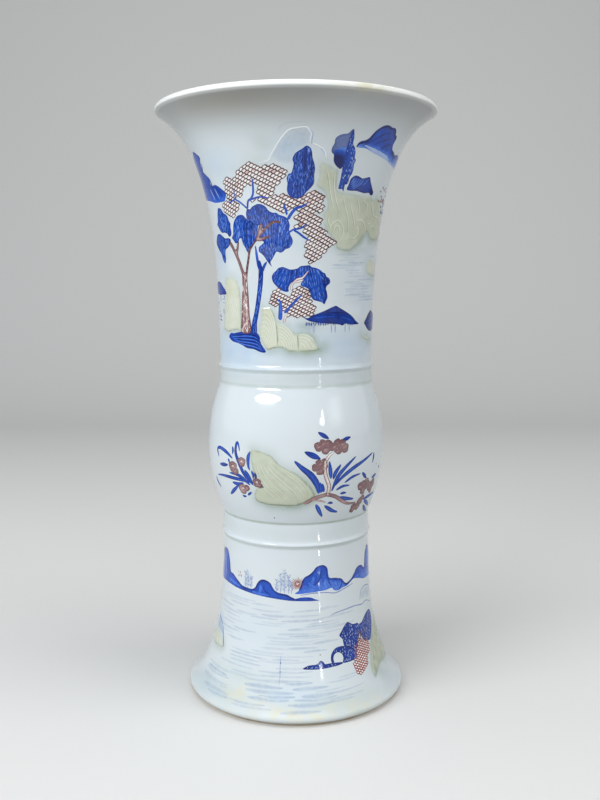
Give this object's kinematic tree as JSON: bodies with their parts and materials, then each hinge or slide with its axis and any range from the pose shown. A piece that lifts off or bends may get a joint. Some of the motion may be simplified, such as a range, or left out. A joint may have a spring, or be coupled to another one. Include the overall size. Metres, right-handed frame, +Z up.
{
  "type": "gu beaker vase",
  "caption": "Tall gu-shaped porcelain vase with a flared trumpet neck, a bulb between raised string ribs, and a spreading foot.",
  "frame": {"origin": "centre of the foot ring, on the plane that the vase stands on", "axes": "+Z up along the vase's axis, and -Y towards the painted side that the picture shows"},
  "size_m": [0.2076, 0.2076, 0.44],
  "materials": {
    "glazed_porcelain": "glossy bluish-white glaze over painting in cobalt blue, copper red and pale celadon",
    "luting_slip": "matt unglazed white clay, slightly buff from firing"
  },
  "bodies": {
    "root": {"foot_section": "glazed_porcelain", "floor_disc": "glazed_porcelain", "floor_seam": "luting_slip", "lower_rib": "glazed_porcelain", "bulb_section": "glazed_porcelain", "upper_rib": "glazed_porcelain", "neck_section": "glazed_porcelain"}
  },
  "joints": []
}
